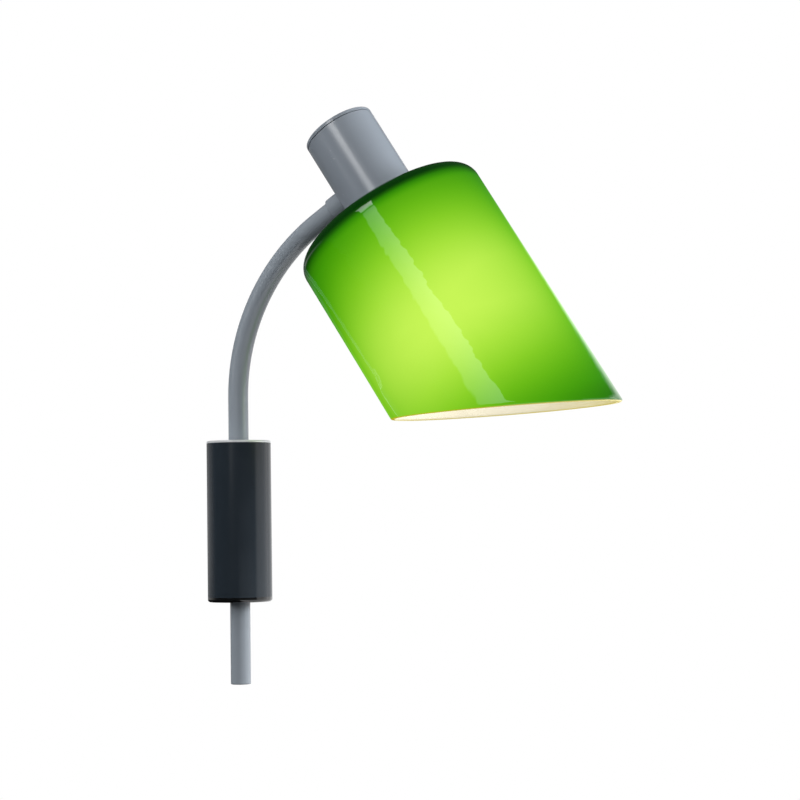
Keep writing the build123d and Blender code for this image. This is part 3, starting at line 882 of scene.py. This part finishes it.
class Base(Dressed):
    """The wall bracket, the dark housing with its two caps, and what is inside."""

    body = Place.BASE
    finishes = {
        "housing_tube": HOUSING_PAINT,
        "upper_cap": BRIGHT_LIP,
        "lower_cap": BLACK_CAP,
        "wall_bracket": BRACKET,
        "hook_studs": ZINC,
        "cap_screws": ZINC,
        "lock_screw": ZINC,
        "upper_bush": BEARING,
        "lower_bush": BEARING,
        "thrust_washer": BEARING,
        "friction_ring": SOFT,
        "cable_grommet": SOFT,
        "terminal_carrier": TERMINAL,
        "terminal_block": TERMINAL,
        "terminal_screws": BRASS,
        "earth_screw": BRASS,
    }


class Arm(Dressed):
    """The bent tube with its plug, its collar and the joint at its end."""

    body = Place.ARM
    finishes = {
        "arm_tube": ARM_PAINT,
        "tail_plug": ARM_PAINT,
        "support_collar": ZINC,
        "stop_screw": ZINC,
        "swivel_nipple": ZINC,
        "stop_washer": ZINC,
        "swivel_nut": ZINC,
        "arm_lead": SHEATH,
    }


class Head(Dressed):
    """The cup with its lampholder and bulb, and the fittings that hold the glass."""

    body = Place.HEAD
    finishes = {
        "swivel_socket": ARM_PAINT,
        "friction_washer": BEARING,
        "saddle_washer": BEARING,
        "spring_washer": ZINC,
        "cup_shell": CUP_PAINT,
        "cup_cap": CUP_PAINT,
        "carrier_disc": ZINC,
        "lampholder_body": HOLDER,
        "lampholder_screws": ZINC,
        "screw_shell": BRASS,
        "centre_contact": BRASS,
        "upper_gasket": SOFT,
        "lower_gasket": SOFT,
        "shade_ring": HOLDER,
        "bulb_cap": BULB_CAP,
        "bulb_base": BULB_BODY,
        "bulb_globe": LitOpal(),
    }


@dataclass
class Shade:
    """The blown-glass shade, with slightly uneven walls and a ground, rounded rim.

    It is drawn in the head's axes. The slant of its mouth is in degrees, and its axis lies
    beside the cup's by the slip. Runs are the straight pieces that a curve is made of.
    """

    wardrobe: Wardrobe
    radius: float = 0.061
    wall: float = 0.003
    shoulder: float = 0.009
    axis_length: float = 0.1424
    slant: float = 29.2
    slip: float = 0.0042
    hole: float = 0.01825
    hole_round: float = 0.0009
    rim_round: float = 0.0011
    unevenness: float = 0.00015
    even_above: float = -0.012
    uneven_over: float = 0.03
    sway: Pair = (21.0, 9.0)
    ripple: Pair = (60.0, 26.0)
    ripple_shift: float = 7.0
    ripple_share: float = 0.28
    least_radius: float = 0.01
    around: int = 240
    down: int = 60
    shoulder_runs: int = 10
    rim_runs: int = 4
    hole_runs: int = 3
    top_rings: Pair = (0.35, 0.7)
    body: ClassVar[Place] = Place.HEAD

    def _mouth(self, radius: float, turn: float) -> float:
        """Returns the height of the mouth's plane at a radius and an azimuth."""
        return -self.axis_length - radius * math.cos(turn) * math.tan(math.radians(self.slant))

    @staticmethod
    def _arc(corner: Pair, start: Pair, end: Pair, radius: float, runs: int) -> List[Pair]:
        """Rounds a corner of the section.

        Args:
            corner: The sharp corner.
            start: A point on the line that comes to the corner.
            end: A point on the line that leaves it.
            radius: The fillet's radius.
            runs: How many runs the arc has.

        Returns:
            The fillet's points.
        """
        here = Vector(corner)
        back = (Vector(start) - here).normalized()
        on = (Vector(end) - here).normalized()
        half = back.angle(on) / 2
        middle = here + (back + on).normalized() * (radius / math.sin(half))
        first = here + back * (radius / math.tan(half)) - middle
        last = here + on * (radius / math.tan(half)) - middle
        whole = first.angle(last)
        points = []
        for count in range(runs + 1):
            share = count / runs
            turned = first * math.sin((1 - share) * whole) + last * math.sin(share * whole)
            points.append(tuple(middle + turned / math.sin(whole)))
        return points

    def _section(self, turn: float) -> List[Pair]:
        """Draws the glass's section at an azimuth.

        Args:
            turn: The azimuth in radians.

        Returns:
            The closed outline, as radius and height.
        """
        outer, inner = self.radius, self.radius - self.wall
        top, under = 0.0, -self.wall
        inner_bend = self.shoulder - self.wall
        hole_top, hole_under = (self.hole, top), (self.hole, under)
        foot_out, foot_in = (outer, self._mouth(outer, turn)), (inner, self._mouth(inner, turn))
        rim_out = self._arc(foot_out, (outer, top), foot_in, self.rim_round, self.rim_runs)
        rim_in = self._arc(foot_in, foot_out, (inner, under), self.rim_round, self.rim_runs)

        points = self._arc(hole_top, hole_under, (outer, top), self.hole_round, self.hole_runs)
        reach = outer - self.shoulder - self.hole
        points += [(self.hole + reach * share, top) for share in self.top_rings]
        points += self._arc((outer, top), hole_top, foot_out, self.shoulder, self.shoulder_runs)
        high, low = -self.shoulder, rim_out[0][1]
        points += [(outer, high + (low - high) * k / self.down) for k in range(1, self.down)]
        points += rim_out + rim_in
        low, high = rim_in[-1][1], under - inner_bend
        points += [(inner, low + (high - low) * k / self.down) for k in range(1, self.down)]
        points += self._arc((inner, under), foot_in, hole_under, inner_bend, self.shoulder_runs)
        reach = inner - inner_bend - self.hole
        points += [(self.hole + reach * share, under) for share in reversed(self.top_rings)]
        points += self._arc(hole_under, (inner, under), hole_top, self.hole_round, self.hole_runs)
        return points

    def _uneven(self, point: Vector, radius: float) -> Vector:
        """Moves a point in or out as a blown wall is, and leaves the top of the glass even.

        Args:
            point: The point on an even wall.
            radius: Its distance from the glass's axis.

        Returns:
            The point on the uneven wall.
        """
        depth = min(1.0, max(0.0, (self.even_above - point.z) / self.uneven_over))
        wide, tall = self.sway
        sway = noise.noise(Vector((point.x * wide, point.y * wide, point.z * tall)))
        wide, tall = self.ripple
        aside = point.x * wide + self.ripple_shift
        ripple = noise.noise(Vector((aside, point.y * wide, point.z * tall)))
        move = self.unevenness * depth * (sway + self.ripple_share * ripple)
        share = move / max(radius, self.least_radius)
        return Vector((point.x * (1 + share), point.y * (1 + share), point.z))

    def _mesh(self) -> bpy.types.Mesh:
        """Carries the section once round the glass's axis.

        Returns:
            The mesh in the row frame.
        """
        made = bmesh.new()
        columns = []
        for step in range(self.around):
            turn = 2 * math.pi * step / self.around
            column = []
            for radius, height in self._section(turn):
                flat = Vector((radius * math.cos(turn), radius * math.sin(turn), height))
                place = self._uneven(flat, radius) - Vector((self.slip, 0.0, 0.0))
                column.append(made.verts.new(place))
            columns.append(column)
        for left, right in zip(columns, columns[1:] + columns[:1]):
            for k in range(len(left)):
                n = (k + 1) % len(left)
                made.faces.new((left[k], right[k], right[n], left[n])).smooth = True
        bmesh.ops.recalc_face_normals(made, faces=made.faces)
        made.transform(HEAD.matrix())
        mesh = bpy.data.meshes.new("blown_shade")
        made.to_mesh(mesh)
        made.free()
        return mesh

    def build(self) -> None:
        """Adds the glass, dresses it and puts it in the place of the CAD node."""
        piece = add_object("blown_shade", self._mesh())
        glass = CasedGlass(
            self.radius, self.wall, self.shoulder, self.slip, self.axis_length, self.slant
        )
        self.wardrobe.dress(piece, glass)
        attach(piece, Place.HEAD.value)
        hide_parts("glass_shade")
        piece.visible_diffuse = False


# ---- studio ----


def axes_facing(place: Point, target: Point, upright: Point) -> Matrix:
    """Turns an object towards a target.

    Args:
        place: Where the object is.
        target: The point that it faces.
        upright: The direction that its height follows.

    Returns:
        The directions of its width, its height and its back, one in each row.
    """
    back = (Vector(place) - Vector(target)).normalized()
    side = Vector(upright).cross(back).normalized()
    return Matrix((side, back.cross(side), back))


@dataclass(frozen=True)
class Surroundings:
    """The white backdrop, the daylight, and the room that shows in gloss.

    Gloss shows a dark room with two pale things in it: the paper behind the lamp on the
    right, under a sloping top, and a narrow band at the horizon. Each pair is the two
    directions between which the thing begins or ends, and each level is a share of white.
    """

    daylight: Pair = (0.09, 1.25)
    daylight_rise: Pair = (-0.1, 0.9)
    room: float = 0.04
    paper: float = 0.88
    paper_behind: Pair = (0.30, 0.70)
    paper_right: Pair = (0.0, 0.25)
    paper_slope: float = 0.4
    paper_top: float = 0.15
    paper_edge: Pair = (-0.03, 0.06)
    horizon: float = 0.5
    horizon_width: float = 0.055
    horizon_from: Pair = (-0.1, 0.55)
    horizon_to: Pair = (0.90, 0.97)

    def build(self) -> None:
        """Builds the world."""
        world = bpy.data.worlds.new("studio")
        bpy.context.scene.world = world
        graph = Graph(world)
        ahead = graph.node("ShaderNodeTexCoord", {}, {}).outputs["Generated"]
        right, back, up = (graph.along(ahead, axis) for axis in (RIGHT, BACK, UP))
        under_top = (right * self.paper_slope + self.paper_top - up).step(*self.paper_edge)
        paper = back.step(*self.paper_behind) * under_top * right.step(*self.paper_right)
        band = up.bell(0.0, self.horizon_width) * back.step(*self.horizon_from)
        horizon = band * (1.0 - back.step(*self.horizon_to)) * self.horizon
        clear = graph.ray("Is Camera Ray").at_least(graph.ray("Is Transmission Ray"))
        seen = clear.at_least(self.room + (paper * self.paper).at_least(horizon))
        low, high = self.daylight
        daylight = low + up.step(*self.daylight_rise) * (high - low)
        backgrounds = [graph.light("ShaderNodeBackground", level) for level in (daylight, seen)]
        graph.finish(graph.mixed(graph.shown(), *backgrounds))


@dataclass(frozen=True)
class Floor:
    """A pale floor that keeps the lamp's shadow and fades into the backdrop.

    Rays that show the background see it nearly white, and wholly white far away. Other rays
    find it dim, so that it throws little light on the lamp. It is clear from below.
    """

    height: float = -0.30
    size: float = 6.0
    colour: Colour = (0.93, 0.93, 0.93)
    tooth: float = 300.0
    tooth_shade: float = 0.02
    roughness: float = 0.9
    sheen_level: float = 0.1
    middle: Point = (0.08, -0.08, 0.0)
    white_near: float = 0.55
    fade: Pair = (0.35, 0.9)
    dim: float = 0.05
    bounce: float = 0.07

    def _material(self) -> bpy.types.Material:
        """Builds the floor's paint.

        Returns:
            The material.
        """
        graph = Graph(bpy.data.materials.new("pale_floor"))
        tooth = graph.grain(self.tooth, 4.0)
        matt = graph.surface(
            {
                "Base Color": graph.scaled(self.colour, 1.0 + tooth.swing(self.tooth_shade)),
                "Roughness": self.roughness,
                "Specular IOR Level": self.sheen_level,
            }
        )
        white, dim = (
            graph.node("ShaderNodeEmission", {}, {"Color": (grey, grey, grey, 1.0)})
            for grey in (1.0, self.dim)
        )
        fade = graph.length(graph.away_from(self.middle)).step(*self.fade)
        seen = graph.mixed(self.white_near + fade * (1.0 - self.white_near), matt, white)
        lit = graph.mixed(graph.shown() * (1.0 - self.bounce) + self.bounce, dim, seen)
        below = Signal(graph, graph.node("ShaderNodeNewGeometry", {}, {}).outputs["Backfacing"])
        clear = graph.node("ShaderNodeBsdfTransparent", {}, {})
        return graph.finish(graph.mixed(below, lit, clear))

    def build(self) -> None:
        """Adds the floor."""
        made = bmesh.new()
        bmesh.ops.create_grid(made, x_segments=4, y_segments=4, size=self.size / 2)
        mesh = bpy.data.meshes.new("floor")
        made.to_mesh(mesh)
        made.free()
        mesh.materials.append(self._material())
        floor = add_object("floor", mesh)
        floor.location = (0.0, 0.0, self.height)


@dataclass(frozen=True)
class Card:
    """A black card on the floor, behind, under and left of the lamp.

    Only gloss shows it, and it keeps the left of the glass deep.
    """

    height: float = Floor.height + 0.005
    across: Pair = (-3.3, 0.05)
    deep: Pair = (-3.3, 3.3)
    grey: float = 0.01

    def build(self) -> None:
        """Adds the card."""
        graph = Graph(bpy.data.materials.new("black_card"))
        black = (self.grey, self.grey, self.grey, 1.0)
        paint = {"Base Color": black, "Roughness": 1.0, "Specular IOR Level": 0.0}
        mesh = bpy.data.meshes.new("black_card")
        (left, right), (near, far) = self.across, self.deep
        outline = ((left, near), (right, near), (right, far), (left, far))
        mesh.from_pydata([(*corner, self.height) for corner in outline], [], [(0, 1, 2, 3)])
        mesh.materials.append(graph.finish(graph.surface(paint)))
        card = add_object("black_card", mesh)
        card.visible_camera = card.visible_diffuse = card.visible_shadow = False


@dataclass(frozen=True)
class Panel:
    """The light panel whose reflection is the long stripe on the glass and the cup.

    Its outline is measured from its place, to the side and along its height. The glow
    begins softly at a slanting left edge and grows towards the right, and a dark gap parts
    the brighter top from the rest.
    """

    name: str = "stripe_panel"
    place: Point = (-0.40, -1.15, 0.52)
    target: Point = (0.11, -0.14, 0.15)
    upright: Point = HEAD.axis(2)
    outline: Tuple[Pair, ...] = (
        (-0.36, 0.45),
        (-0.27, 0.21),
        (-0.22, 0.11),
        (-0.4495, -0.32),
        (0.4265, -0.32),
        (0.07, 0.105),
        (0.07, 0.135),
        (0.09, 0.45),
    )
    radiance: float = 2.4
    left: float = 0.2975
    left_slant: float = 0.475
    top_shift: float = 0.28
    shift_over: Pair = (0.11, 0.14)
    width: float = 0.46
    taper: float = 1.3
    least_width: float = 0.33
    soft_edge: float = 0.14
    left_level: float = 0.52
    gap: float = 0.125
    gap_edge: Pair = (0.012, 0.022)
    top_gain: float = 1.2
    gain_over: Pair = (0.13, 0.20)

    def _level(self, across: Signal, up: Signal) -> Signal:
        """Works out how bright the panel is.

        Args:
            across: The distance from its place to the side.
            up: The distance from its place along its height.

        Returns:
            The brightness.
        """
        width = (self.width - up * self.taper).at_least(self.least_width)
        shift = up.step(*self.shift_over) * self.top_shift
        share = (across + self.left - up * self.left_slant + shift) / width
        grown = self.left_level + share * (1.0 - self.left_level)
        level = share.step(0.0, self.soft_edge) * grown * self.radiance
        level = level * (1.0 + up.step(*self.gain_over) * self.top_gain)
        return level * (up - self.gap).absolute().step(*self.gap_edge)

    def build(self) -> None:
        """Adds the panel, which the camera doesn't see."""
        side, high, _ = axes_facing(self.place, self.target, self.upright)
        graph = Graph(bpy.data.materials.new(self.name))
        place = graph.away_from(self.place)
        level = self._level(graph.along(place, tuple(side)), graph.along(place, tuple(high)))
        mesh = bpy.data.meshes.new(self.name)
        corners = [Vector(self.place) + side * x + high * y for x, y in self.outline]
        mesh.from_pydata(corners, [], [list(range(len(corners)))])
        mesh.materials.append(graph.finish(graph.light("ShaderNodeEmission", level)))
        sheet = add_object(self.name, mesh)
        sheet.visible_camera = False


@dataclass(frozen=True)
class SoftBox:
    """A rectangular soft box. Its radiance is how bright its face would look."""

    name: str
    place: Point
    size: Pair
    radiance: float
    target: Point = (0.06, -0.06, 0.06)
    in_gloss: bool = False

    def build(self) -> None:
        """Adds the soft box, which the camera doesn't see."""
        box = bpy.data.lights.new(self.name, "AREA")
        box.shape = "RECTANGLE"
        box.size, box.size_y = self.size
        box.energy = self.radiance * math.pi * self.size[0] * self.size[1]
        light = add_object(self.name, box)
        axes = axes_facing(self.place, self.target, UP).transposed().to_4x4()
        light.matrix_world = Matrix.Translation(Vector(self.place)) @ axes
        light.visible_camera = False
        light.visible_glossy = self.in_gloss


@dataclass(frozen=True)
class Viewpoint:
    """The camera, where the photograph was taken from.

    Angles are in degrees, and the focal length and the sensor's width in millimetres.
    """

    place: Point = (0.0888096, -1.3365006, 0.0000137)
    pan: float = -0.5408
    pitch: float = 3.2382
    lean: float = 0.8107
    focal: float = 94.5
    sensor: float = 36.0
    clip: Pair = (0.05, 50.0)

    def build(self) -> None:
        """Adds the camera and makes it the scene's."""
        lens = bpy.data.cameras.new("camera")
        lens.lens = self.focal
        lens.sensor_width = self.sensor
        lens.clip_start, lens.clip_end = self.clip
        turn = Matrix.Rotation(math.radians(self.pan), 3, "Z")
        turn = turn @ Matrix.Rotation(math.radians(self.pitch), 3, "X")
        turn = turn @ Matrix.Rotation(math.radians(self.lean), 3, "Y")
        right, ahead, up = turn.col
        facing = Matrix((right, up, -ahead)).transposed().to_4x4()
        camera = add_object("camera", lens)
        camera.matrix_world = Matrix.Translation(Vector(self.place)) @ facing
        bpy.context.scene.camera = camera


@dataclass(frozen=True)
class Studio:
    """Everything round the lamp.

    The side box shows in the paint. The three small ones don't show in any gloss, so that
    they give plain light and clear shadows only.
    """

    parts: Tuple[Any, ...] = (
        Surroundings(),
        Floor(),
        Card(),
        Panel(),
        SoftBox("side", (1.30, 0.08, 0.12), (1.5, 1.0), 0.8, (0.08, -0.06, 0.08), in_gloss=True),
        SoftBox("fill", (1.30, -0.16, 0.36), (0.45, 0.45), 30.0),
        SoftBox("key", (-0.62, -1.25, 0.28), (0.16, 0.16), 134.0),
        SoftBox("left", (-1.20, -0.45, 0.30), (0.30, 0.30), 20.0),
        Viewpoint(),
    )

    def build(self) -> None:
        """Builds everything that isn't part of the lamp."""
        for part in self.parts:
            part.build()
            LOG.info("%s added", type(part).__name__)
        view = bpy.context.scene.view_settings
        view.view_transform = "Standard"


def main() -> None:
    """Builds the lamp's looks in order."""
    logging.basicConfig(level=logging.INFO, format="%(name)s: %(message)s")
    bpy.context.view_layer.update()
    wardrobe = Wardrobe()
    for part in (Base(wardrobe), Arm(wardrobe), Head(wardrobe), Shade(wardrobe)):
        part.build()
        LOG.info("%s built on the body %s", type(part).__name__, part.body.value)
    Studio().build()


if __name__ == "__main__":
    main()
